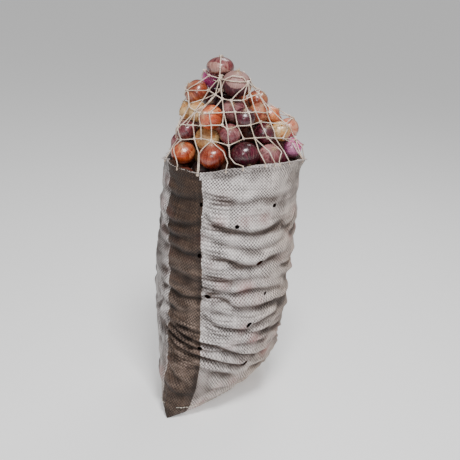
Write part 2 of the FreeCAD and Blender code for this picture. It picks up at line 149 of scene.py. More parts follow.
# ---- material helpers -----------------------------------------------------------------
class Nodes:
    """Short calls for building a node material."""

    def __init__(self, name):
        self.material = bpy.data.materials.new(name)
        self.material.use_nodes = True
        self.tree = self.material.node_tree
        self.shader = self.tree.nodes["Principled BSDF"]

    def add(self, kind, **settings):
        made = self.tree.nodes.new(kind)
        for key, value in settings.items():
            setattr(made, key, value)
        return made

    def wire(self, source, target):
        self.tree.links.new(source, target)

    def put(self, socket, value):
        if hasattr(value, "is_linked"):
            self.wire(value, socket)
        else:
            socket.default_value = value

    def math(self, operation, a, b=0.0):
        made = self.add("ShaderNodeMath", operation=operation)
        self.put(made.inputs[0], a)
        self.put(made.inputs[1], b)
        return made.outputs[0]

    def plus(self, a, b):
        return self.math("ADD", a, b)

    def less(self, a, b):
        return self.math("SUBTRACT", a, b)

    def times(self, a, b):
        return self.math("MULTIPLY", a, b)

    def split(self, vector):
        made = self.add("ShaderNodeSeparateXYZ")
        self.wire(vector, made.inputs[0])
        return made.outputs

    def place(self):
        return self.add("ShaderNodeTexCoord").outputs["Object"]

    def skin(self):
        return self.add("ShaderNodeAttribute", attribute_name="skin").outputs

    def mix(self, factor, a, b, blend="MIX"):
        made = self.add("ShaderNodeMix", data_type="RGBA", blend_type=blend)
        self.put(made.inputs["Factor"], factor)
        self.put(made.inputs[6], a if hasattr(a, "is_linked") else (*a, 1))
        self.put(made.inputs[7], b if hasattr(b, "is_linked") else (*b, 1))
        return made.outputs[2]

    def ramp(self, factor, low, high, start=0.0, end=1.0):
        made = self.add("ShaderNodeMapRange", interpolation_type="SMOOTHSTEP")
        self.put(made.inputs["Value"], factor)
        made.inputs["From Min"].default_value = low
        made.inputs["From Max"].default_value = high
        made.inputs["To Min"].default_value = start
        made.inputs["To Max"].default_value = end
        return made.outputs["Result"]

    def noise(self, vector, scale, detail=3.0, rough=0.5, stretch=(1, 1, 1)):
        mapping = self.add("ShaderNodeMapping")
        self.wire(vector, mapping.inputs["Vector"])
        mapping.inputs["Scale"].default_value = stretch
        made = self.add("ShaderNodeTexNoise")
        self.wire(mapping.outputs[0], made.inputs["Vector"])
        made.inputs["Scale"].default_value = scale
        made.inputs["Detail"].default_value = detail
        made.inputs["Roughness"].default_value = rough
        return made.outputs["Fac"]

    def bump(self, height, distance, strength=1.0):
        made = self.add("ShaderNodeBump")
        made.inputs["Distance"].default_value = distance
        made.inputs["Strength"].default_value = strength
        self.wire(height, made.inputs["Height"])
        self.wire(made.outputs[0], self.shader.inputs["Normal"])

    def finish(self, colour, roughness, **sockets):
        self.put(self.shader.inputs["Base Color"], colour)
        self.put(self.shader.inputs["Roughness"], roughness)
        for name, value in sockets.items():
            self.shader.inputs[name.replace("_", " ")].default_value = value
        return self.material


# ---- materials ------------------------------------------------------------------------
WEAVE_PITCH = 0.0076
WHITE_TAPE = (0.90, 0.84, 0.82)
# Painted shade: the white cloth's colour on the sides that turn away and low down
SIDE_SHADE_TAPE = (0.78, 0.60, 0.46)
GREY_TAPE = (0.26, 0.22, 0.21)                   # the yarns that lie lower
BROWN_TAPE = (0.034, 0.017, 0.010)
LIGHT_BROWN_TAPE = (0.105, 0.064, 0.042)
# Painted sheen: the lighter brown of the stripe's sheen patches
SHEEN_BROWN = (0.27, 0.195, 0.155)
# Painted shade: the dark inside of the sack seen between the yarns, on the white and on the stripe
GAP = (0.032, 0.022, 0.020)                      # seen between the yarns
STRIPE_GAP = (0.012, 0.006, 0.004)
ONION_TINT = (0.32, 0.10, 0.09)
CREASE_TINT = (0.15, 0.115, 0.10)                # multiplies the colour in a fold's shade


def woven_cloth():
    """Flat yarn woven in a fine open mesh. The cloth UV holds metres round and up the sack,
    and the skin colour holds stripe, press, painted side shade with the stripe's painted sheen,
    and painted crease shade with dark patches in its four channels."""
    n = Nodes("woven_cloth")
    uv = n.add("ShaderNodeUVMap", uv_map="cloth").outputs["UV"]
    wander = n.times(n.less(n.noise(uv, 22, 2), 0.5), 0.006)
    u, v = (n.plus(part, wander) for part in n.split(uv)[:2])
    state = n.add("ShaderNodeSeparateColor")
    skin = n.skin()
    n.wire(skin["Color"], state.inputs[0])
    stripe_place, press, side_shade_and_sheen = state.outputs
    crease_shade = skin["Alpha"]
    crossing = n.times(*(n.math("SINE", n.times(way, 2 * math.pi / WEAVE_PITCH)) for way in (u, v)))
    over = n.ramp(crossing, -0.45, 0.45)
    wear = n.noise(uv, 420, 2)
    tape_shade = n.noise(uv, 1, 2, stretch=(230, 9, 1))
    weft_shade = n.noise(uv, 1, 2, stretch=(9, 230, 1))
    shade = n.plus(n.times(tape_shade, 0.55), n.times(weft_shade, 0.45))
    # Painted shade: the white turns warmer and darker on the sides that turn away and low down
    white = n.mix(side_shade_and_sheen, WHITE_TAPE, SIDE_SHADE_TAPE)
    white = n.mix(n.ramp(shade, 0.35, 0.65), n.mix(0.5, white, GREY_TAPE), white)
    brown = n.mix(n.ramp(shade, 0.35, 0.7), BROWN_TAPE, LIGHT_BROWN_TAPE)
    stripe = n.ramp(stripe_place, 0.48, 0.52)
    # Painted sheen: lighter patches on the stripe, in a band low on the sack
    sheen_patches = n.ramp(n.noise(uv, 24, 3, stretch=(1, 2.5, 1)), 0.36, 0.66, 0.15, 1.0)
    brown = n.mix(n.times(side_shade_and_sheen, sheen_patches), brown, SHEEN_BROWN)
    tape = n.mix(stripe, white, brown)
    tape = n.mix(n.times(press, 0.6), tape, ONION_TINT)
    # Painted shade in the open weave's gaps
    gap = n.mix(stripe, GAP, STRIPE_GAP)
    gap = n.mix(press, gap, ONION_TINT)
    looser = n.ramp(n.noise(uv, 34, 3), 0.32, 0.62, 0.5, 1.0)
    looser = n.times(n.ramp(wear, 0.2, 0.8, 0.75, 1.0), looser)
    openness = n.times(looser, n.less(1, over))
    colour = n.mix(openness, tape, gap)
    colour = n.mix(crease_shade, colour, n.mix(1.0, colour, CREASE_TINT, "MULTIPLY"))
    n.bump(n.plus(crossing, n.times(wear, 0.5)), 0.0008, 0.8)
    return n.finish(colour, 0.6, Sheen_Weight=0.04, Specular_IOR_Level=0.3)


def onion_skin(name, roughness, coat):
    """Dry skin. The colour comes with each bulb; fine veins run from root to neck."""
    n = Nodes(name)
    place = n.place()
    x, y, z = n.split(place)
    angle = n.math("ARCTAN2", y, x)
    join = n.add("ShaderNodeCombineXYZ")
    around = [n.math("SINE", angle), n.math("COSINE", angle)]
    for socket, value in zip(join.inputs, around + [n.times(z, 6.0)]):
        n.wire(value, socket)
    veins = n.noise(join.outputs[0], 16, 3, 0.65)
    flecks = n.noise(place, 260, 3)
    base = n.skin()["Color"]
    dark = n.mix(1.0, base, (0.52, 0.42, 0.42), "MULTIPLY")
    pale = n.mix(0.20, base, (0.86, 0.62, 0.46))
    colour = n.mix(n.ramp(veins, 0.30, 0.52), dark, base)
    colour = n.mix(n.ramp(veins, 0.56, 0.74), colour, pale)
    colour = n.mix(n.ramp(flecks, 0.62, 0.75, 0, 0.35), colour, dark)
    n.bump(n.plus(veins, n.times(flecks, 0.3)), 0.0009, 0.45)
    shine = n.ramp(flecks, 0.35, 0.7, roughness, roughness + 0.18)
    return n.finish(colour, shine, Coat_Weight=coat, Coat_Roughness=0.18, Specular_IOR_Level=0.5)


def twine_yarn(name, colour, dark):
    """Spun yarn with fine fibres and a little dirt."""
    n = Nodes(name)
    place = n.place()
    dirt = n.noise(place, 60, 3)
    fibres = n.noise(place, 1500, 3, 0.7)
    tone = n.mix(n.ramp(dirt, 0.35, 0.65), dark, colour)
    tone = n.mix(n.ramp(fibres, 0.3, 0.6, 0.45, 0), tone, dark)
    n.bump(fibres, 0.0004, 0.6)
    return n.finish(tone, 0.75, Sheen_Weight=0.3, Specular_IOR_Level=0.3)


def floor_surface():
    n = Nodes("pale_floor")
    place = n.place()
    tone = n.mix(n.noise(place, 3, 4), (0.90, 0.90, 0.90), (0.93, 0.93, 0.93))
    return n.finish(tone, 0.85, Specular_IOR_Level=0.2, Emission_Color=(1, 1, 1, 1),
                    Emission_Strength=0.36)


CLOTH = woven_cloth()
GLOSSY_SKIN = onion_skin("onion_glossy_skin", 0.24, 0.6)
DULL_SKIN = onion_skin("onion_dull_skin", 0.5, 0.05)
TWINE = twine_yarn("cream_twine", (0.86, 0.74, 0.62), (0.55, 0.42, 0.32))
THREAD = twine_yarn("sewing_thread", (0.80, 0.76, 0.66), (0.45, 0.40, 0.33))


# ---- the sack's surface ---------------------------------------------------------------
def half_axes(z):
    rise = np.clip((z - FOLD_TOP) / TAPER_HEIGHT, 0, 1)
    along = MOUTH_RADIUS + (SEAM_HALF - MOUTH_RADIUS) * (1 - rise) ** 2
    fill = (1 - (1 - rise) ** TAPER_POWER) ** (1 / TAPER_POWER)
    return along, SEAM_HALF_WIDTH + (MOUTH_RADIUS - SEAM_HALF_WIDTH) * fill


GIRTH = 2 * math.pi * MOUTH_RADIUS
LEVELS = np.linspace(FOLD_TOP, HEM_TOP + 0.03, 160)
TURN_STEPS = 720
TURNS = np.linspace(-math.pi, math.pi, TURN_STEPS + 1)


def turn_table():
    """For each level, the turn round the oval at even shares of its girth; 0 is -X."""
    table = []
    middles = (TURNS[1:] + TURNS[:-1]) / 2
    for level in LEVELS:
        along, across = half_axes(level)
        runs = np.hypot(along * np.sin(middles), across * np.cos(middles)) * np.diff(TURNS)
        arc = np.concatenate([[0], np.cumsum(runs)])
        table.append(np.interp(np.linspace(0, 1, TURN_STEPS + 1), arc / arc[-1], TURNS))
    return np.array(table)


TABLE = turn_table()


def base_surface(around, z):
    """A point on the smooth sack; around is metres of cloth from the -X side, -Y positive."""
    share = np.clip((around / GIRTH + 0.5), 0, 1) * TURN_STEPS
    level = np.clip((z - LEVELS[0]) / (LEVELS[1] - LEVELS[0]), 0, len(LEVELS) - 1.001)
    i, j = np.floor(level).astype(int), np.clip(np.floor(share).astype(int), 0, TURN_STEPS - 1)
    p, q = level - i, share - j
    turn = (TABLE[i, j] * (1 - q) + TABLE[i, j + 1] * q) * (1 - p) \
        + (TABLE[i + 1, j] * (1 - q) + TABLE[i + 1, j + 1] * q) * p
    along, across = half_axes(z)
    return np.stack([LEAN * z - along * np.cos(turn), -across * np.sin(turn), z], -1)


# Folds in the cloth: points (metres of cloth round, height), depth and width, in millimetres.
FOLDS = [
    ([(28, 496), (70, 471), (125, 459), (165, 455), (235, 474)], 6.0, 13),
    ([(60, 536), (110, 528), (170, 538), (240, 530)], 3.2, 14),
    ([(24, 448), (60, 440), (110, 436), (150, 440)], 3.0, 11),
    ([(38, 413), (85, 399), (135, 381), (165, 380), (200, 392), (262, 397)], 6.2, 13),
    ([(40, 402), (70, 396), (110, 395)], 3.4, 7),
    ([(50, 430), (110, 424), (190, 420), (250, 432)], 3.4, 13),
    ([(38, 352), (90, 346), (150, 350), (210, 344)], 3.4, 12),
    ([(35, 326), (90, 317), (115, 313), (155, 322), (255, 308)], 5.6, 11),
    ([(50, 309), (95, 297), (130, 280), (205, 279), (260, 284)], 6.0, 11),
    ([(75, 273), (120, 262), (165, 254), (205, 258)], 3.6, 6),
    ([(82, 283), (120, 272), (165, 265)], 3.0, 5),
    ([(45, 256), (85, 234), (123, 225), (151, 222), (196, 236), (250, 246)], 6.2, 11),
    ([(48, 236), (90, 214), (120, 206), (155, 205)], 3.2, 7),
    ([(150, 214), (200, 208), (250, 212)], 3.4, 9),
    ([(36, 190), (93, 180), (115, 171), (157, 153), (212, 138), (260, 138)], 7.6, 10),
    ([(120, 190), (170, 182), (240, 180)], 3.0, 10),
    ([(36, 160), (88, 147), (112, 138), (170, 122), (200, 128)], 7.0, 8),
    ([(40, 128), (106, 112), (170, 84)], 4.0, 11),
    ([(86, 73), (157, 56), (205, 58), (260, 50)], 4.0, 11),
    ([(210, 104), (250, 98), (290, 108)], 3.4, 10),
    ([(-84, 296), (-50, 300), (-10, 290), (42, 300), (66, 308)], 5.4, 9),
    ([(-84, 338), (-40, 345), (0, 340), (42, 333)], 4.4, 12),
    ([(-90, 392), (-50, 400), (0, 396), (40, 404)], 3.8, 12),
    ([(-100, 440), (-60, 430), (-10, 434), (30, 448)], 3.4, 12),
    ([(-100, 474), (-50, 460), (0, 466), (34, 482)], 4.2, 11),
    ([(-100, 532), (-60, 520), (-20, 524), (25, 532)], 4.0, 11),
    ([(-60, 262), (-20, 254), (30, 262)], 3.2, 9),
    ([(-60, 238), (-20, 222), (50, 216)], 4.6, 7),
    ([(-56, 224), (-10, 206), (52, 190), (90, 184)], 5.2, 6),
    ([(-54, 206), (-10, 190), (52, 173), (98, 164)], 5.8, 6),
    ([(-48, 190), (-5, 172), (52, 156), (92, 148)], 5.2, 6),
    ([(-70, 268), (-88, 244), (-110, 232)], 4.0, 9),
    ([(-66, 184), (-92, 202), (-116, 232)], 4.2, 9),
    ([(-70, 150), (-92, 160), (-120, 176)], 3.6, 9),
    ([(-34, 124), (-4, 98), (40, 84)], 3.4, 9),
    ([(-30, 74), (0, 62), (36, 54)], 2.2, 8),
]
# Thin puckers, one under the other: across the stripe, twice beside it, and on the right.
PUCKERS = [([(-52, top), (-4, top - 17), (54, top - 27)], 2.0, 2.8) for top in range(150, 262, 8)]
PUCKERS += [([(50, top), (80, top - 8), (124, top - 13)], 1.9, 2.8) for top in range(134, 262, 9)]
PUCKERS += [([(28, top), (54, top - 5), (92, top - 6)], 1.6, 2.6) for top in range(300, 560, 10)]
PUCKERS += [([(120, top), (170, top - 9 + 5 * (top % 2)), (236, top + 4)], 1.5, 3.2)
            for top in range(150, 300, 13)]
FAR_FOLDS = 78


def far_folds():
    """Folds of the same kind on the side that faces away, laid by seeded chance."""
    folds = []
    for number in range(FAR_FOLDS):
        x = 262 + 520 * ((number * 0.618) % 1) + rng.uniform(-20, 20)
        z = 40 + 520 * ((number * 0.7549) % 1)
        length = rng.uniform(60, 210)
        sag, tilt = rng.uniform(4, 22), rng.uniform(-26, 26)
        middle = (x - length * 0.1, z - sag + tilt * 0.4)
        route = [(x - length / 2, z), middle, (x + length / 2, z + tilt)]
        folds.append((route, rng.uniform(2.5, 6.5), rng.uniform(6, 14)))
    return folds


def smooth_route(points, count):
    """Points along a curve that goes through the given ones (Catmull-Rom)."""
    p = np.array([points[0], *points, points[-1]], dtype=float)
    p[0] = 2 * p[1] - p[2]
    p[-1] = 2 * p[-2] - p[-3]
    out = []
    for k in range(1, len(p) - 2):
        t = np.linspace(0, 1, count, endpoint=False)[:, None]
        a, b, c, d = p[k - 1], p[k], p[k + 1], p[k + 2]
        out.append(0.5 * (2 * b + (c - a) * t + (2 * a - 5 * b + 4 * c - d) * t ** 2
                          + (3 * b - 3 * c + d - a) * t ** 3))
    return np.concatenate(out + [p[-2:-1]])


def crease(off):
    """A fold's section, off widths above its line: a sharp valley under an overhanging roll."""
    flank = np.where(off > 0, np.exp(-(1.35 * off) ** 2), np.exp(-(0.8 * off) ** 2))
    sharp = np.exp(-np.abs(off) / 0.2)
    roll = 0.5 * np.exp(-((off - 1.35) / 0.65) ** 2) + 0.3 * np.exp(-((off + 1.8) / 0.8) ** 2)
    return 0.72 * flank + 0.28 * sharp - roll


def fold_depth(around, z, folds):
    """How far the folds draw the cloth in, in metres."""
    depth = np.zeros_like(around)
    for points, deep, wide in folds:
        route = smooth_route(np.array(points) / 1000, 8)
        route = route[np.argsort(route[:, 0])]
        deep, wide = deep / 1000, wide / 1000
        low, high = route.min(0) - 3 * wide, route.max(0) + 3 * wide
        for shift in (-GIRTH, 0, GIRTH):
            here = around + shift
            near = (here > low[0]) & (here < high[0]) & (z > low[1]) & (z < high[1])
            if not near.any():
                continue
            here = here[near]
            x = np.clip(here, route[0, 0], route[-1, 0])
            off = (z[near] - np.interp(x, route[:, 0], route[:, 1])) / wide
            run = (x - route[0, 0]) / (route[-1, 0] - route[0, 0])
            fade = np.clip(4 * run * (1 - run), 0, 1) ** 0.45
            fade = fade * np.exp(-((here - x) / wide) ** 2 * 4)
            depth[near] += deep * fade * crease(off)
    return depth


LUMP_SPACING = 0.058
LUMP_RISE = LUMP_SPACING * 0.88                  # from one row of onions to the next
LUMP_REACH = 0.034


def lump_places():
    """Where onions press on the cloth: a jittered staggered grid round the sack."""
    columns = round(GIRTH / LUMP_SPACING)
    rows = int((MOUTH_TOP - 0.02) / LUMP_RISE)
    places = []
    for row in range(rows):
        for column in range(columns):
            x = (column + 0.5 * (row % 2)) * GIRTH / columns - GIRTH / 2
            places.append((x + rng.uniform(-0.011, 0.011),
                           0.03 + row * LUMP_RISE + rng.uniform(-0.009, 0.009),
                           rng.uniform(0.55, 1.0)))
    return places


def lumps(around, z, places):
    """Soft bulges over the onions, from 0 between them to 1 on their crowns."""
    height = np.zeros_like(around)
    for x, level, size in places:
        for shift in (-GIRTH, 0, GIRTH):
            gap = np.hypot((around + shift - x), (z - level) * 1.15) / LUMP_REACH
            height = np.maximum(height, size * np.clip(1 - gap ** 2, 0, 1) ** 0.8)
    return height


LUMPS = lump_places()
ALL_FOLDS = FOLDS + PUCKERS + far_folds()
RIM_CELLS = 22
# How far the mouth's edge rises over the girth, in millimetres round and up.
RIM = [(-497, 4), (-400, 6), (-310, -4), (-250, -18), (-190, -24), (-150, -20), (-115, -10),
       (-92, -3), (-75, -5), (-48, -10), (-14, -11), (17, -10), (48, -2), (79, 8), (110, 14),
       (135, 18), (167, 19), (194, 18), (225, 16), (270, 10), (327, -2), (420, 5), (497, 4)]


def rim_wave(around):
    """How far the mouth's edge rises or sinks."""
    share = around / GIRTH * RIM_CELLS + RIM_CELLS / 2
    wander = np.interp(around, *(np.array(RIM).T / 1000))
    return wander + 0.005 * (rough(share, share * 0, 31, 3, RIM_CELLS) - 0.5)


def rim_flare(around, z):
    """The lip that stands out from the onions at each end of the front."""
    out = 0.009 * np.exp(-((around - 0.315) / 0.030) ** 2)
    out = out + 0.006 * np.exp(-((around + 0.075) / 0.022) ** 2)
    return out * step(MOUTH_TOP - 0.040, MOUTH_TOP, z)


# Vent holes: millimetres of cloth round, height, half width, half height, and tilt in degrees.
# The far side has the same ones, half a turn on.
VENTS = [
    (25, 520, 4.4, 5.4, 0), (108, 479, 4.8, 5.0, 10), (196, 520, 4.6, 5.6, 20),
    (30, 401, 5.6, 6.0, 0), (168, 389, 8.4, 4.4, 30), (56, 307, 7.8, 4.4, -14),
    (196, 308, 5.0, 3.4, 30),
    (159, 237, 8.2, 4.6, 34), (52, 179, 6.6, 4.0, -20), (180, 125, 9.0, 4.6, 36),
]
VENTS += [((x + 1000 * GIRTH) % (1000 * GIRTH) - 500 * GIRTH, *rest) for x, *rest in VENTS]
TAUT_REACH = 0.012                               # the cloth round a vent hole stays taut


def near_vent(around, z):
    """1 at a vent hole and 0 away from them; the taut edge of a hole does not fold shut."""
    share = np.zeros_like(around)
    for x, level, *_ in VENTS:
        apart = (around - x / 1000) ** 2 + (z - level / 1000) ** 2
        share = np.maximum(share, np.exp(-apart / TAUT_REACH ** 2))
    return share


FOLD_GAIN = 1.5                                  # all folds against the depths in the list
DEEPEST = 0.0075                                 # the cloth never draws in further than this
GATHER_PITCH = 0.016                             # of the small pleats along the sewn bottom


def relief(around, z):
    """Outward offset of the cloth from the smooth sack, in metres."""
    share = around / GIRTH
    soft = 0.006 * (rough(share * 9, z * 9, 11, 2, 9) - 0.5)
    smile = 0.010 * (rough(share * 11, z * 36, 17, 3, 11) - 0.5)
    fine = 0.0024 * (rough(share * 50, z * 150, 23, 3, 50) - 0.5)
    low = step(0.0, 0.09, z - FOLD_TOP)
    pleats = np.sin(around * 2 * math.pi / GATHER_PITCH + 4 * rough(share * 30, z * 4, 5, 1, 30))
    gather = 0.0012 * (1 - low) * pleats
    out = (0.0042 * lumps(around, z, LUMPS) + soft + smile + fine) * (0.15 + 0.85 * low) + gather
    folds = FOLD_GAIN * fold_depth(around, z, ALL_FOLDS) * (0.3 + 0.7 * low)
    folds = folds * (1 - 0.85 * near_vent(around, z))
    out = out - folds * (1 - step(MOUTH_TOP - 0.03, MOUTH_TOP, z))
    out = np.where(out < 0, -DEEPEST * np.tanh(-out / DEEPEST), out)
    return out * step(-0.002, 0.014, z - FOLD_TOP) + rim_flare(around, z)


def cloth_surface(around, z, lift=0.0):
    """The finished cloth with its relief, lift further out."""
    here = base_surface(around, z)
    e = 0.002
    side = base_surface(around + e, z) - base_surface(around - e, z)
    above, below = np.minimum(z + e, HEM_TOP + 0.02), np.maximum(z - e, FOLD_TOP)
    up = base_surface(around, above) - base_surface(around, below)
    normal = np.cross(side, up)
    normal /= np.linalg.norm(normal, axis=-1, keepdims=True) + 1e-12
    return here + normal * (relief(around, z) + lift)[..., None], normal


# The dark stripe's two edges: heights, then metres of cloth round at its right and left.
STRIPE_RIGHT = ([31, 81, 135, 181, 274, 312, 359, 448, 492, 524, 572, 600],
                [57, 59, 58, 52, 41, 41, 38, 29, 27, 29, 22, 14])
STRIPE_LEFT = ([31, 102, 128, 170, 213, 250, 320, 357, 420, 487, 575, 600],
               [-40, -33, -32, -36, -44, -44, -52, -54, -68, -76, -84, -86])


def cloth_state(around, z):
    """Stripe place, press, painted side shade with stripe sheen, and painted crease shade with
    dark patches and marks, for the cloth's material, as a colour.
    """
    right, left = (np.interp(z * 1000, *edge) / 1000 for edge in (STRIPE_RIGHT, STRIPE_LEFT))
    stripe = np.clip(0.5 + np.minimum(right - around, around - left) * 60, 0, 1)
    share = around / GIRTH
    press = lumps(around, z, LUMPS) ** 3 * step(0.45, 0.72, rough(share * 12, z * 12, 41, 2, 12))
    press = press * (1 - 0.8 * stripe)
    # Painted shade: warmer and darker on the sides that turn away and toward the bottom. On the
    # stripe the same channel gives a painted sheen, lighter below 0.5 m and less near the bottom.
    side_shade_and_sheen = step(0.10, 0.30, around) * 0.65 + step(-0.28, -0.42, around) * 0.4
    side_shade_and_sheen = side_shade_and_sheen * (0.6 + 0.8 * rough(share * 8, z * 7, 47, 3, 8)) + 0.35 * step(0.2, 0.02, z)
    side_shade_and_sheen = np.where(stripe > 0.5, step(0.50, 0.20, z) * (1 - 0.6 * step(0.12, 0.05, z)), side_shade_and_sheen)
    # Painted shade in the folds: darker where they draw the cloth in
    sunk = fold_depth(around, z - 0.002, ALL_FOLDS) / 0.006
    patchy = 0.55 * step(0.48, 0.72, rough(share * 14, z * 30, 53, 3, 14))
    strip = step(left + 0.004, left - 0.008, around) * step(-0.34, -0.20, around)
    soiled = 0.62 * strip * step(0.30, 0.62, rough(share * 40, z * 26, 59, 3, 40))
    edge = 0.45 * stripe * np.exp(-((right - 0.003 - around) / 0.007) ** 2)
    shade = np.clip(sunk * 1.05 + patchy + soiled + edge, 0, 0.97)
    return np.stack([stripe, press, np.clip(side_shade_and_sheen, 0, 1), shade], -1)


SACK_COLUMNS, SACK_ROWS = 296, 324


def cut_vents(around, rise, faces):
    """Fits the points near each vent hole to its oval, and gives the faces that stay."""
    faces = np.array(faces)
    centres_a, centres_z = around[faces].mean(1), rise[faces].mean(1)
    gone = np.zeros(len(faces), dtype=bool)
    for x, level, *halves, tilt in VENTS:
        x, level, half_wide, half_high = (value / 1000 for value in (x, level, *halves))
        cos, sin = math.cos(math.radians(tilt)), math.sin(math.radians(tilt))

        def spread(a, z):
            dx, dz = a - x, z - level
            return (dx * cos + dz * sin) / half_wide, (-dx * sin + dz * cos) / half_high

        inside = np.hypot(*spread(centres_a, centres_z)) < 1.0
        gone |= inside
        edge = np.unique(faces[inside])
        p, q = spread(around[edge], rise[edge])
        reach = np.hypot(p, q)
        outer = reach > 0.55
        dx, dz = half_wide * p[outer] / reach[outer], half_high * q[outer] / reach[outer]
        around[edge[outer]] = x + dx * cos - dz * sin
        rise[edge[outer]] = level + dx * sin + dz * cos
    return [tuple(face) for face in faces[~gone].tolist()]


def sack_floor():
    """Faces that join the lowest row's two halves, the broad faces, under the onions."""
    half = SACK_COLUMNS // 2
    return [(half - 1, half, half + 1)] + [(half - c - 1, half - c, half + c, half + c + 1)
                                           for c in range(1, half)]


def build_sack():
    share = np.linspace(0, 1, SACK_ROWS)
    levels = FOLD_TOP + (MOUTH_TOP - FOLD_TOP) * (0.35 * share ** 1.6 + 0.65 * share)
    A, Z = np.meshgrid(np.linspace(-GIRTH / 2, GIRTH / 2, SACK_COLUMNS + 1), levels)
    A, Z = A.ravel(), Z.ravel()
    kept = cut_vents(A, Z, grid_faces(SACK_ROWS, SACK_COLUMNS + 1)) + sack_floor()
    Z = Z + rim_wave(A) * step(MOUTH_TOP - 0.05, MOUTH_TOP, Z)
    verts, _ = cloth_surface(A, Z)
    used = np.unique(np.concatenate([np.array(face) for face in kept]))
    fresh = np.full(len(A), -1)
    fresh[used] = np.arange(len(used))
    kept = [tuple(int(fresh[i]) for i in face) for face in kept]
    sack = piece("sack_body_cloth", verts[used], kept, CLOTH, "weave", ["sack_body"],
                 np.stack([A, Z], -1)[used], cloth_state(A, Z)[used])


def build_hem():
    """The mouth's fold: cloth turned over the rim, outside and inside, a little wavy."""
    columns = 420
    around = np.linspace(-GIRTH / 2, GIRTH / 2, columns + 1)
    # Across the fold: offset out from the sack's face and height from the rim, millimetres.
    section = [(0.0, -15.5), (0.5, -15.0), (0.7, -12), (0.8, -8), (1.0, -4), (1.3, -1), (1.1, 0.8),
               (0.2, 1.6), (-1.2, 1.5), (-2.2, 0.2), (-2.6, -3), (-2.8, -8), (-2.9, -14)]
    rows = []
    for k, (out, up) in enumerate(section):
        z = MOUTH_TOP + rim_wave(around) + up / 1000
        share = around / GIRTH
        ripple = 0.0016 * (rough(share * 40, share * 0 + k * 0.5, 61, 2, 40) - 0.5)
        low_edge = 0.003 * (rough(share * 30, share * 0, 67, 2, 30) - 0.5) if k < 3 else 0
        level = np.minimum(z + low_edge, HEM_TOP + 0.01)
        point, _ = cloth_surface(around, level, out / 1000 + ripple)
        rows.append(point)
    verts = np.concatenate(rows)
    lengths = np.cumsum([0] + [math.hypot(b[0] - a[0], b[1] - a[1]) / 1000
                               for a, b in zip(section, section[1:])])
    A = np.tile(around, len(section))
    V = np.repeat(MOUTH_TOP + lengths, columns + 1)
    colours = cloth_state(A, np.full_like(A, MOUTH_TOP))
    faces = [face[::-1] for face in grid_faces(len(section), columns + 1)]
    hem = piece("mouth_hem_cloth", verts, faces, CLOTH, "weave", ["mouth_hem"],
                np.stack([A, V], -1), colours)


def build_bottom_fold():
    """The bottom edge folded under: a flat double strip of cloth with rounded edges."""
    columns, rows = 160, 9
    verts, uvs = [], []
    for side in (1, -1):
        for r in range(rows):
            for c in range(columns + 1):
                x = SEAM_HALF * (2 * c / columns - 1)
                half = FOLD_HALF_WIDTH * math.sqrt(max(1 - (x / SEAM_HALF) ** 2, 0))
                across = 2 * r / (rows - 1) - 1
                thick = FOLD_TOP / 2 * math.sqrt(max(1 - across ** 4, 0))
                wave = 0.0002 * math.sin(x * 190 + 3 * across)
                y = half * across
                z = FOLD_TOP / 2 + side * (thick - 0.0001) + (wave if side > 0 else 0)
                verts.append((x, y, max(z, 0.00002)))
                uvs.append((x, y))
    count = rows * (columns + 1)
    top = grid_faces(rows, columns + 1)
    under = [tuple(count + i for i in face[::-1]) for face in top]
    # The stripe runs over the corner at -X; the rest of the strip is white cloth, which takes the
    # painted side and bottom shade.
    white_or_stripe = np.array([0.3 if v[0] > -0.15 else 0.0 for v in verts])
    colours = cloth_state(white_or_stripe, np.full(len(verts), 0.02))
    strip = piece("bottom_fold_cloth", verts, top + under, CLOTH, "weave", ["bottom_fold"],
                  uvs, colours)


# ---- twine ----------------------------------------------------------------------------
def run_along(route):
    """How far along a route each of its points lies."""
    return np.concatenate([[0], np.cumsum(np.linalg.norm(np.diff(route, axis=0), axis=1))])


def evenly(points, spacing):
    """The same route with points at an even spacing."""
    p = np.asarray(points, dtype=float)
    run = run_along(p)
    at = np.linspace(0, run[-1], max(int(run[-1] / spacing), 2) + 1)
    return np.stack([np.interp(at, run, p[:, k]) for k in range(3)], -1)


def sideways(route):
    """Each point of a route with two directions square to it, which never spin round it."""
    ahead = np.gradient(route, axis=0)
    ahead /= np.linalg.norm(ahead, axis=1, keepdims=True) + 1e-12
    side = np.cross(ahead[0], (0, 0, 1) if abs(ahead[0][2]) < 0.9 else (1, 0, 0))
    for point, forward in zip(route, ahead):
        side = side - forward * side.dot(forward)
        side /= np.linalg.norm(side) + 1e-12
        yield point, side, np.cross(forward, side)


def tube(route, radius, sides=6, taper=1.0):
    """A round tube along a route, as (verts, faces)."""
    route = np.asarray(route, dtype=float)
    verts = []
    for k, (point, side, other) in enumerate(sideways(route)):
        size = radius * (1 + (taper - 1) * k / max(len(route) - 1, 1))
        for s in range(sides):
            a = 2 * math.pi * s / sides
            verts.append(point + size * (side * math.cos(a) + other * math.sin(a)))
    faces = grid_faces(len(route), sides, closed=True)
    last = (len(route) - 1) * sides
    faces.append(tuple(range(sides - 1, -1, -1)))
    faces.append(tuple(last + s for s in range(sides)))
    return verts, faces


def twist(route, radius=TWINE_RADIUS, pitch=0.009, spacing=0.0022, turn=0.0):
    """Two plies laid round each other along a route."""
    route = evenly(smooth_route(route, 6), spacing)
    plies = [[], []]
    for (point, side, other), length in zip(sideways(route), run_along(route)):
        for ply in range(2):
            a = turn + math.pi * ply + 2 * math.pi * length / pitch
            plies[ply].append(point + radius * 0.48 * (side * math.cos(a) + other * math.sin(a)))
    return [tube(ply, radius * 0.56) for ply in plies]


def knot(at, outward, size=1.0):
    """A small overhand knot: a trefoil of twine pulled tight."""
    outward = Vector(outward).normalized()
    basis = outward.to_track_quat("Z", "Y").to_matrix()
    route = []
    for k in range(41):
        t = 2 * math.pi * k / 40
        flat = Vector((math.sin(t) + 1.6 * math.sin(2 * t), math.cos(t) - 1.6 * math.cos(2 * t),
                       -0.9 * math.sin(3 * t)))
        route.append(np.array(at) + np.array(basis @ flat) * 0.00105 * size)
    return tube(route, 0.00115 * size)


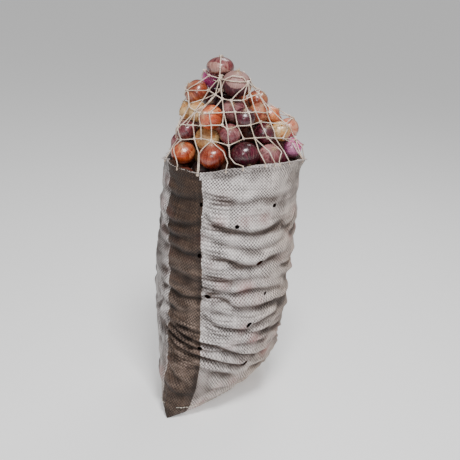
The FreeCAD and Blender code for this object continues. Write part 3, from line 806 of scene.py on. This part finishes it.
# ---- onions ---------------------------------------------------------------------------
ORANGE = ((0.54, 0.078, 0.018), (0.20, 0.018, 0.006), (0.92, 0.36, 0.14))
EMBER = ((0.24, 0.020, 0.005), (0.080, 0.005, 0.002), (0.62, 0.17, 0.06))
PURPLE = ((0.050, 0.001, 0.009), (0.014, 0.001, 0.002), (0.17, 0.012, 0.040))
MAGENTA = ((0.72, 0.065, 0.34), (0.26, 0.010, 0.08), (0.92, 0.46, 0.70))
PLUM = ((0.20, 0.042, 0.046), (0.048, 0.006, 0.013), (0.60, 0.35, 0.28))
STRAW = ((0.66, 0.30, 0.08), (0.28, 0.07, 0.02), (0.92, 0.68, 0.34))
PINK = ((0.58, 0.16, 0.08), (0.25, 0.04, 0.02), (0.88, 0.46, 0.30))
MAUVE = ((0.19, 0.034, 0.046), (0.055, 0.006, 0.012), (0.58, 0.29, 0.28))
RUST = ((0.28, 0.044, 0.016), (0.09, 0.009, 0.005), (0.66, 0.27, 0.12))

# Colours, tilt from upright and turn in degrees, share of loose papery skin. A negative share
# is a papery cap that reaches that many radians down from the neck.
STYLES = {f"heap_onion_{number:02}": style for number, style in {
    1: (ORANGE, 30, 200, 0.1), 2: (EMBER, 12, 160, 0.0),
    3: (PURPLE, 55, 60, 0.0), 4: (MAUVE, 40, 230, 0.3),
    5: (PURPLE, 60, 20, 0.1), 6: (MAGENTA, 70, 300, 0.2),
    13: (MAUVE, 30, 100, 0.1), 14: (STRAW, 70, 190, 0.3),
    15: (MAUVE, 40, 220, 0.1), 16: (PURPLE, 35, 240, 0.2),
    17: (STRAW, 55, 250, 0.2), 18: (PINK, 20, 280, 0.2),
    24: (ORANGE, 65, 170, 0.2), 25: (STRAW, 60, 140, 0.4),
    26: (PURPLE, 25, 220, 0.0), 27: (RUST, 30, 240, 0.3),
    28: (ORANGE, 45, 290, 0.2), 29: (STRAW, 35, 110, 0.5),
    30: (MAUVE, 50, 200, 0.5), 31: (RUST, 40, 260, 0.2),
    35: (RUST, 50, 150, 0.1), 36: (MAGENTA, 40, 170, 0.0),
    37: (PURPLE, 20, 225, -1.12),
}.items()}
STYLES["top_onion"] = (PLUM, 172, 220, 0.1)
# Where an onion lies a little off its CAD place, in metres, and the squat one on top.
NUDGED = {"heap_onion_29": (0.006, -0.010, 0.0), "top_onion": (0.0, 0.0, -0.009)}
SQUAT = 0.74
SPARE_STYLES = [ORANGE, PURPLE, RUST, MAUVE, EMBER, STRAW, PLUM, PINK]
HUSK = np.array((0.86, 0.56, 0.47))              # a dry papery cap
DRY_ENDS = np.array((0.42, 0.27, 0.16))          # neck and root disc
TUFT_STRAW = (0.50, 0.36, 0.22, 1.0)


def skin_colours(palette, loose, seed, share, P, ends, papery, dry):
    """Streaks and clouds of the three colours, pale ends, papery patches and dry tips."""
    main, dark, pale = (np.array(c) for c in palette)
    streak = rough(share * 46, P * 1.1, seed + 5, 3, 46)[..., None]
    cloud = rough(share * 4, P * 2.2, seed + 13, 3, 4)[..., None]
    colour = main * (1 - step(0.5, 0.8, streak) * 0.45) + pale * step(0.5, 0.8, streak) * 0.45
    dark_share = step(0.50, 0.22, streak) * 0.55 + step(0.55, 0.2, cloud) * 0.5
    husk = (0.4 * pale + (0.6 * HUSK if loose < 0 else 0.6 * pale)) * (0.75 + 0.5 * (streak - 0.5))
    layers = [(dark, np.clip(dark_share, 0, 1)),
              (0.40 * pale + 0.30 * dark + 0.05, np.clip(ends, 0, 1)[..., None] * 0.45),
              (husk, papery[..., None] * 0.62),
              (DRY_ENDS, np.clip(dry[..., None] * 0.8, 0, 1))]
    for over, cover in layers:
        colour = colour * (1 - cover) + over * cover
    return np.concatenate([colour, np.ones_like(streak)], -1).reshape(-1, 4)


def bulb(radius, flat, palette, loose, seed, rows=58, columns=104):
    """An onion about its own axis, neck up: points, quads and colours."""
    phi = np.linspace(0.0, math.pi, rows)
    theta = np.linspace(0, 2 * math.pi, columns, endpoint=False)
    T, P = np.meshgrid(theta, phi)
    share = T / (2 * math.pi)
    wide = np.sin(P)
    tall = flat * np.cos(P)
    neck = np.exp(-(P / 0.24) ** 2)
    root = np.exp(-((math.pi - P) / 0.17) ** 2)
    shoulder = 1 + 0.035 * np.sin(P * 2) * (seed % 3 - 1)
    wide = wide * shoulder * (1 - 0.10 * np.exp(-((P - 0.42) / 0.22) ** 2))
    tall = tall + 0.16 * neck + 0.035 * root
    sway = 0.35 * rough(share * 8, P * 3, seed + 3, 2, 8)
    veins = rough(share * 34, P * 0.7 + sway, seed, 3, 34) - 0.5
    ends = np.exp(-(P / 0.7) ** 2) + 0.6 * np.exp(-((math.pi - P) / 0.55) ** 2)
    uneven = rough(share * 3, P * 1.2, seed + 9, 2, 3) - 0.5
    grow = 1 + 0.018 * veins * (0.5 + 1.8 * ends) + 0.055 * uneven
    patch = rough(share * 5, P * 1.6, seed + 21, 4, 5)
    if loose < 0:
        papery = step(0.0, 0.05, -loose + 0.7 * (patch - 0.5) - P)
    else:
        papery = step(0.66 - 0.36 * loose, 0.68 - 0.36 * loose, patch) * (loose > 0)
    grow = grow + 0.011 * papery
    x, y = wide * grow * np.cos(T), wide * grow * np.sin(T)
    verts = np.stack([x, y, tall * (0.5 + 0.5 * grow)], -1).reshape(-1, 3) * radius * 0.985
    colours = skin_colours(palette, loose, seed, share, P, ends, papery, neck + root)
    return verts, grid_faces(rows, columns, closed=True), colours


def tuft(radius, flat, seed, top):
    """Dry strands at the neck or fine roots at the base."""
    pick = random.Random(seed)
    parts = []
    for _ in range(7 if top else 22):
        a = pick.uniform(0, 2 * math.pi)
        out = radius * (0.05 if top else 0.13) * pick.uniform(0.3, 1.2)
        rise = radius * (flat + 0.10 if top else -(flat - 0.02))
        length = radius * (pick.uniform(0.10, 0.24) if top else pick.uniform(0.06, 0.18))
        bend = pick.uniform(-0.8, 0.8)
        spread = pick.uniform(0.2, 1.3)
        route = []
        for k in range(6):
            t = k / 5
            lean = a + bend * t
            reach = out + length * spread * t * t
            up = rise + (length * (t - 0.35 * spread * t * t)) * (1 if top else -1)
            route.append((reach * math.cos(lean), reach * math.sin(lean), up))
        parts.append(tube(route, radius * (0.030 if top else 0.010), 5, 0.3))
    return joined(parts)


def cad_slot(name):
    return next(s["material_slot"] for s in frame["record"]["subparts"] if s["node"] == name)


def build_onion(name, number):
    low, high = (np.array(corner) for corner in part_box(name))
    centre = (low + high) / 2 + NUDGED.get(name, (0, 0, 0))
    radius = (high - low).max() / 2
    spare = (SPARE_STYLES[number % len(SPARE_STYLES)], 20 + 53 * number % 120, 77 * number % 360,
             0.15 * (number % 4))
    palette, tilt, turn, loose = STYLES.get(name, spare)
    flat = SQUAT if name == "top_onion" else 0.88 + 0.03 * (number % 4)
    verts, faces, colours = bulb(radius, flat, palette, loose, number + 1)
    tufts = [tuft(radius, flat, number, True), tuft(radius, flat, number + 50, False)]
    colours = np.concatenate([colours] + [np.tile(TUFT_STRAW, (len(tips), 1)) for tips, _ in tufts])
    verts, faces = joined([(list(verts), faces)] + tufts)
    skin = DULL_SKIN if abs(loose) > 0.25 else GLOSSY_SKIN
    place = Matrix.Translation(Vector(centre)) @ Matrix.Rotation(math.radians(turn), 4, "Z") \
        @ Matrix.Rotation(math.radians(tilt), 4, "Y")
    piece(f"{name}_skin", verts, faces, skin, cad_slot(name), [name], colours=colours, place=place)
    return centre, radius


CLOTH_ROOM = 0.85                                # keeps the inner onions clear of the folds
MOUTH_ROOM = 0.93                                # where the cloth has none, near the mouth
NECK_SIZE = 0.012                                # smaller shapes than this are not bulbs
INNER_SHADE = (0.4, 0.4, 0.4, 1)                       # painted shade: the inner onions are darker, as if in the sack's shade


def build_hidden_onions(name, number):
    """The onions of one inner group, each at the place of its CAD bulb."""
    mesh = frame["nodes"][name].data
    points = np.empty(len(mesh.vertices) * 3)
    mesh.vertices.foreach_get("co", points)
    points = points.reshape(-1, 3)
    parent = list(range(len(points)))

    def root(i):
        while parent[i] != i:
            parent[i] = parent[parent[i]]
            i = parent[i]
        return i

    for edge in mesh.edges:
        a, b = root(edge.vertices[0]), root(edge.vertices[1])
        if a != b:
            parent[a] = b
    groups = {}
    for i in range(len(points)):
        groups.setdefault(root(i), []).append(i)
    parts, colours = [], []
    for count, members in enumerate(groups.values()):
        cloud = points[members]
        low, high = cloud.min(0), cloud.max(0)
        radius = (high - low).max() / 2
        if radius < NECK_SIZE:
            continue
        palette = SPARE_STYLES[(count + number) % len(SPARE_STYLES)]
        room = CLOTH_ROOM if high[2] < MOUTH_TOP - 0.03 else MOUTH_ROOM
        verts, faces, tones = bulb(radius * room, 0.9, palette, 0.2, count + 100 * number, 14, 22)
        turn = Matrix.Rotation(1.3 * count, 3, "Z") @ Matrix.Rotation(0.9 * count, 3, "X")
        verts = verts @ np.array(turn).T + (low + high) / 2
        parts.append((list(verts), faces))
        # Painted shade: the inner onions are darkened as if in the sack's shade
        colours.append(tones * INNER_SHADE)
    piece(f"{name}_skin", *joined(parts), DULL_SKIN, cad_slot(name), [name],
          colours=np.concatenate(colours))


def build_heap_centre():
    """Two more onions deep in the heap, where light would otherwise pass between the others."""
    parts, colours = [], []
    for number, centre in enumerate([(0.020, 0.022, 0.758), (0.016, 0.012, 0.716)]):
        verts, faces, tones = bulb(0.024, 0.9, PURPLE, 0.0, 70 + number, 20, 32)
        parts.append((list(verts + centre), faces))
        # Painted shade: darkened as if deep in the heap's shade
        colours.append(tones * INNER_SHADE)
    piece("heap_centre_onions", *joined(parts), DULL_SKIN, "onion_purple",
          colours=np.concatenate(colours))


# ---- the net over the heap ------------------------------------------------------------
HEAP_FOOT = np.array([LEAN * 0.6, 0, 0.6])
HEAP_PEAK = np.array([0.012, 0.028, 0.8])


def heap_axis(height):
    share = (height - HEAP_FOOT[2]) / (HEAP_PEAK[2] - HEAP_FOOT[2])
    return HEAP_FOOT + (HEAP_PEAK - HEAP_FOOT) * share


class Drape:
    """The tight skin over a set of balls, as flat tangent planes."""

    def __init__(self, balls, stand_off):
        tilts = np.radians(np.arange(-20, 91, 7.5))
        turns = np.radians(np.arange(0, 360, 7.5))
        self.normals = np.array([(math.cos(t) * math.cos(a), math.cos(t) * math.sin(a), math.sin(t))
                                 for t in tilts for a in turns])
        centres = np.array([c for c, _ in balls])
        radii = np.array([r for _, r in balls])
        self.reach = (self.normals @ centres.T + radii).max(1) + stand_off

    def beyond(self, start, direction):
        facing = self.normals @ direction
        ahead = facing > 0.1
        gaps = (self.reach[ahead] - self.normals[ahead] @ start) / facing[ahead]
        return start + direction * gaps.min()


# Knots of each row, as degrees round the heap and height in millimetres. The first ones
# follow the net's front; the rest are spaced round the back.
ROWS = {
    "net_row_1": [(140, 638), (152, 643), (168, 651), (177, 655), (193, 658), (211, 650),
                  (229, 664), (240, 667), (256, 665), (266, 661), (276, 657)],
    "net_row_2": [(147, 676), (163, 679), (178, 684), (193, 690), (206, 692), (212, 686),
                  (224, 692), (239, 694), (255, 697), (268, 692)],
    "net_row_3": [(161, 710), (178, 712), (192, 716), (209, 718), (224, 720), (239, 722),
                  (252, 719), (268, 714)],
    "net_row_4": [(195, 750), (208, 744), (222, 742), (240, 743), (256, 749)],
    "net_row_5": [(205, 784)],
}
# The back of each row: height, first and last turn, and how many knots.
BACK = {"net_row_1": (646, 292, 488, 9), "net_row_2": (686, 285, 495, 9),
        "net_row_3": (718, 284, 507, 8), "net_row_4": (750, 275, 535, 7),
        "net_row_5": (782, 255, 515, 5)}
# Strands from the first row to the mouth: the knot's number, points on the way, and the
# turn where each goes into the rim.
RIM_STRANDS = [
    (0, [(136, 620)], 138), (1, [(148, 627), (151, 614)], 162), (2, [(173, 643), (181, 630)], 183),
    (4, [(187, 644), (183, 629)], 184), (4, [(206, 640), (209, 620)], 207),
    (5, [(211, 628), (215, 617)], 220), (7, [(239, 643)], 238), (7, [(249, 640)], 247),
    (8, [(262, 634)], 252), (9, [(269, 630)], 263), (10, [(289, 640)], 287),
]
# Strands drawn together at the gathering knot on the front.
GATHERED = [
    [(195, 751), (205, 784)], [(193, 753), (202, 786)], [(198, 750), (209, 783)],
    [(195, 751), (180, 731), (161, 710), (151, 676), (142, 642)],
    [(195, 748), (182, 725), (164, 703), (155, 674)],
    [(195, 752), (171, 739), (153, 727), (135, 712)],
    [(195, 752), (187, 762), (167, 768), (140, 771)],
    [(195, 750), (172, 745), (156, 754), (138, 764)],
    [(195, 751), (207, 764), (219, 786), (232, 794), (247, 792), (254, 772), (256, 749)],
]


STRAND_STEP = 0.008                              # between the points that are pulled tight


class Net:
    """Strands of twine tied at knots, pulled tight over the heap before they are drawn. Each
    point slides only toward the heap's axis, as the knots and the dry skins hold the rest."""

    def __init__(self, skin, balls):
        self.skin = skin
        self.centres = np.array([c for c, _ in balls])
        self.radii = np.array([r for _, r in balls]) * 0.985 + TWINE_RADIUS
        self.points, self.fixed, self.links = [], [], []

    def point(self, place, fixed=False):
        self.points.append(np.array(place, dtype=float))
        self.fixed.append(fixed)
        return len(self.points) - 1

    def at(self, turn, height):
        a = math.radians(turn)
        out = np.array([math.cos(a), math.sin(a), 0])
        return self.point(self.skin.beyond(heap_axis(height / 1000), out))

    def strand(self, *stops):
        """A strand through these points; gives the numbers of all its points."""
        route = [stops[0]]
        for a, b in zip(stops, stops[1:]):
            start, end = self.points[a], self.points[b]
            count = max(round(float(np.linalg.norm(end - start)) / STRAND_STEP), 2)
            for k in range(1, count):
                through = start + (end - start) * k / count
                axis = heap_axis(through[2])
                out = (through - axis) / np.linalg.norm(through - axis)
                route.append(self.point(self.skin.beyond(axis, out)))
            route.append(b)
        self.links += list(zip(route, route[1:]))
        return route

    def tighten(self, rounds=400, weight=0.00012):
        """Each point moves toward the middle of its neighbours, and stays off the onions."""
        p = np.array(self.points)
        ends = np.array(self.links)
        count = np.bincount(ends.ravel(), minlength=len(p))
        axis = np.array([heap_axis(z) for z in p[:, 2]])
        reach = np.linalg.norm(p - axis, axis=1)
        out = (p - axis) / reach[:, None]
        nearest = np.zeros(len(p))
        for centre, radius in zip(self.centres, self.radii):
            along = ((centre - axis) * out).sum(1)
            beside = ((centre - axis) ** 2).sum(1) - along ** 2
            hit = beside < radius ** 2
            nearest[hit] = np.maximum(nearest[hit], along[hit] + np.sqrt(radius ** 2 - beside[hit]))
        held = np.array(self.fixed)
        for _ in range(rounds):
            total = np.zeros_like(p)
            np.add.at(total, ends[:, 0], p[ends[:, 1]])
            np.add.at(total, ends[:, 1], p[ends[:, 0]])
            pull = ((total / count[:, None] - p) * out).sum(1)
            reach = np.where(held, reach, np.maximum(reach + 0.7 * pull - weight, nearest))
            p = axis + out * reach[:, None]
        self.points = list(p)

    def twine(self, route, turn=0.0):
        return twist([self.points[k] for k in route], turn=turn)

    def knot(self, number, size):
        at = self.points[number]
        return knot(at, at - heap_axis(at[2]), size)


def rim_points(turn):
    """Where a strand meets the mouth at this turn: on the edge, outward, and just below it."""
    a = math.radians(turn - 180)
    girth = np.linspace(-GIRTH / 2, GIRTH / 2, TURN_STEPS + 1)
    around = np.array([np.interp(a, TABLE[-1], girth)])
    level = MOUTH_TOP + rim_wave(around)
    edge, normal = cloth_surface(around, level, 0.0006)
    under, _ = cloth_surface(around, level - 0.005, 0.0022)
    return edge[0] + np.array([0, 0, 0.0028]), normal[0], under[0]


def build_net(balls):
    skin = Drape(balls[:-1], TWINE_RADIUS + 0.0006)
    net = Net(skin, balls)
    rows, drawn = {}, {}
    for name, front in ROWS.items():
        height, start, end, count = BACK[name]
        back = [(start + (end - start) * k / (count - 1), height + 5 * math.sin(2.3 * k))
                for k in range(count)]
        ring = rows[name] = [net.at(turn, level) for turn, level in front + back]
        drawn[name] = [net.strand(a, b) for a, b in zip(ring, ring[1:] + ring[:1])]
    names = list(rows)
    for number, (low, high) in enumerate(zip(names, names[1:]), start=2):
        drawn[f"net_bars_{number}"] = []
        for k in rows[low]:
            gaps = [float(np.linalg.norm(net.points[j] - net.points[k])) for j in rows[high]]
            drawn[f"net_bars_{number}"].append(net.strand(k, rows[high][int(np.argmin(gaps))]))
    first = rows["net_row_1"]
    front = len(ROWS["net_row_1"])
    _, start, end, count = BACK["net_row_1"]
    strands = RIM_STRANDS + [(k, [], start + (end - start) * (k - front + lean) / (count - 1))
                             for k in range(front, len(first)) for lean in (-0.2, 0.25)]
    drawn["net_bars_1"], lacing = [], []
    for k, way, turn in strands:
        edge, normal, under = rim_points(turn)
        end = net.point(edge, fixed=True)
        drawn["net_bars_1"].append(net.strand(first[k], *(net.at(*stop) for stop in way), end))
        lacing += twist([edge, edge + normal * 0.002 - (0, 0, 0.0022), under], turn=turn)
        lacing.append(knot(under, normal, 0.7))
    drawn["crown_strands"] = [net.strand(*(net.at(*stop) for stop in stops)) for stops in GATHERED]
    net.tighten()
    for name, routes in drawn.items():
        parts = [ply for number, route in enumerate(routes) for ply in net.twine(route, number)]
        if name in rows:
            parts += [net.knot(number, 0.9 + 0.12 * (k % 3)) for k, number in enumerate(rows[name])]
        if name == "crown_strands":
            parts += [net.knot(drawn[name][0][0], 2.0), net.knot(drawn[name][0][-1], 1.6)]
            ring = rows["net_row_5"]
            parts += crown_loop(balls[-1], net.points[ring[0]], net.points[ring[3]])
        piece(f"{name}_twine", *joined(parts), TWINE, "twine", [name])
    piece("rim_lacing_twine", *joined(lacing), TWINE, "twine", ["rim_lacing"])


def crown_loop(ball, start, end):
    """The strand over the top onion, from one knot of the highest row to another."""
    centre, radius = ball
    cap = Drape([ball], TWINE_RADIUS)
    route = [start]
    for angle in (-8, 14, 36, 60, 90, 120, 144, 166, 188):
        flat = (start if angle <= 90 else end) - centre
        flat = np.array([flat[0], flat[1], 0]) / math.hypot(flat[0], flat[1])
        level = math.radians(angle)
        over = cap.beyond(centre, flat * abs(math.cos(level)) + (0, 0, math.sin(level))) - centre
        route.append(centre + over * (1.02, 1.02, SQUAT + 0.05))
    return twist(route + [end])


# ---- small trim -----------------------------------------------------------------------
def build_stitches():
    """A row of sewing stitches along the bottom on each broad face."""
    parts = []
    pitch, length, height = 0.0085, 0.0060, 0.029
    for face in (1, -1):
        for k in range(int(0.40 / pitch)):
            around = face * (0.020 + k * pitch)
            ends = np.array([around, around + face * length / 2, around + face * length])
            route, normal = cloth_surface(ends, np.array([height, height + 0.0003, height]), 0.0006)
            route[1] += normal[1] * 0.0009
            parts += [tube(evenly(smooth_route(route, 4), 0.0012), 0.0009)]
    piece("bottom_stitches_thread", *joined(parts), THREAD, "thread", ["bottom_stitches"])


FRAY_ENDS = 420


def build_fray():
    """Loose ends of yarn along the mouth's edge."""
    pick = random.Random(19)
    parts = []
    for _ in range(FRAY_ENDS):
        around = pick.uniform(-GIRTH / 2, GIRTH / 2)
        if pick.random() < 0.3:
            around = pick.gauss(0.25, 0.035)
        level = MOUTH_TOP + float(rim_wave(np.array([around]))[0])
        foot, normal = cloth_surface(np.array([around]), np.array([level - 0.001]), 0.0018)
        out = Vector(normal[0])
        side = out.cross(Vector((0, 0, 1))) * pick.uniform(-1, 1)
        length = pick.uniform(0.003, 0.012)
        route = []
        for k in range(5):
            t = k / 4
            rise = Vector((0, 0, 1)) * (0.8 * t - 0.7 * t * t)
            way = out * (0.5 * t) + side * (0.7 * t * t) + rise
            route.append(np.array(Vector(foot[0]) + way * length))
        parts.append(tube(route, 0.00065, 4, 0.5))
    verts, faces = joined(parts)
    # No stripe or press; a little painted side shade and painted crease shade on the loose ends
    colours = np.tile([0.0, 0.0, 0.2, 0.1], (len(verts), 1))
    piece("mouth_fray", verts, faces, CLOTH, "weave", [], np.zeros((len(verts), 2)), colours)


# ---- build ----------------------------------------------------------------------------
build_sack()
build_hem()
build_bottom_fold()
build_stitches()
build_fray()
heap_names = sorted(n for n in frame["nodes"] if n.startswith("heap_onion")) + ["top_onion"]
BALLS = [build_onion(name, number) for number, name in enumerate(heap_names)]
hidden = sorted(n for n in frame["nodes"] if n.startswith("inner_onions")) + ["core_onions"]
for number, name in enumerate(hidden):
    build_hidden_onions(name, number)
build_heap_centre()
build_net(BALLS)

# ---- floor, light and camera ----------------------------------------------------------
floor = bpy.data.objects.new("floor", bpy.data.meshes.new("floor"))
FAR = 40                                         # half the floor's side
floor.data.from_pydata([(-FAR, -FAR, 0), (FAR, -FAR, 0), (FAR, FAR, 0), (-FAR, FAR, 0)],
                       [], [(0, 1, 2, 3)])
floor.data.materials.append(floor_surface())
floor.location.z = -0.0005
bpy.context.scene.collection.objects.link(floor)

world = bpy.data.worlds.new("studio")
bpy.context.scene.world = world
world.use_nodes = True
background = world.node_tree.nodes["Background"]
background.inputs["Color"].default_value = (1.0, 1.0, 1.0, 1)
background.inputs["Strength"].default_value = 0.20


def area_light(name, place, target, size, power):
    """A square lamp: its side in metres and its power in watts."""
    data = bpy.data.lights.new(name, "AREA")
    data.size = size
    data.energy = power
    lamp = bpy.data.objects.new(name, data)
    lamp.location = place
    lamp.rotation_euler = (Vector(target) - Vector(place)).to_track_quat("-Z", "Y").to_euler()
    bpy.context.scene.collection.objects.link(lamp)


# The camera, fitted to the photo: turn from -Y, distance, height, roll, and focal length as
# a share of the picture's side.
AZIMUTH = math.radians(-58.25)
DISTANCE, CAMERA_HEIGHT, ROLL, FOCAL = 2.067, 1.199, 2.98, 931.15 / 460
TARGET = Vector((0, 0, 0.42))
SENSOR = 36


def around_object(azimuth, distance, height):
    """A place seen from the sack's middle, in degrees from the camera's side."""
    a = AZIMUTH + math.radians(azimuth)
    return (math.sin(a) * distance, -math.cos(a) * distance, height)


area_light("key", around_object(10, 1.05, 2.35), (0, 0, 0.45), 0.55, 53)
area_light("front", around_object(-8, 2.3, 1.6), (0, 0, 0.5), 0.5, 13)
area_light("back", around_object(160, 1.3, 2.2), (0, 0, 0.5), 0.8, 14)

camera_data = bpy.data.cameras.new("camera")
camera = bpy.data.objects.new("camera", camera_data)
bpy.context.scene.collection.objects.link(camera)
camera.location = around_object(0, DISTANCE, CAMERA_HEIGHT)
aim = (TARGET - camera.location).to_track_quat("-Z", "Y")
camera.rotation_euler = (aim.to_matrix() @ Matrix.Rotation(math.radians(ROLL), 3, "Z")).to_euler()
camera_data.sensor_width = SENSOR
camera_data.lens = SENSOR * FOCAL
camera_data.shift_x = 0.0188
camera_data.shift_y = -0.0028
bpy.context.scene.camera = camera
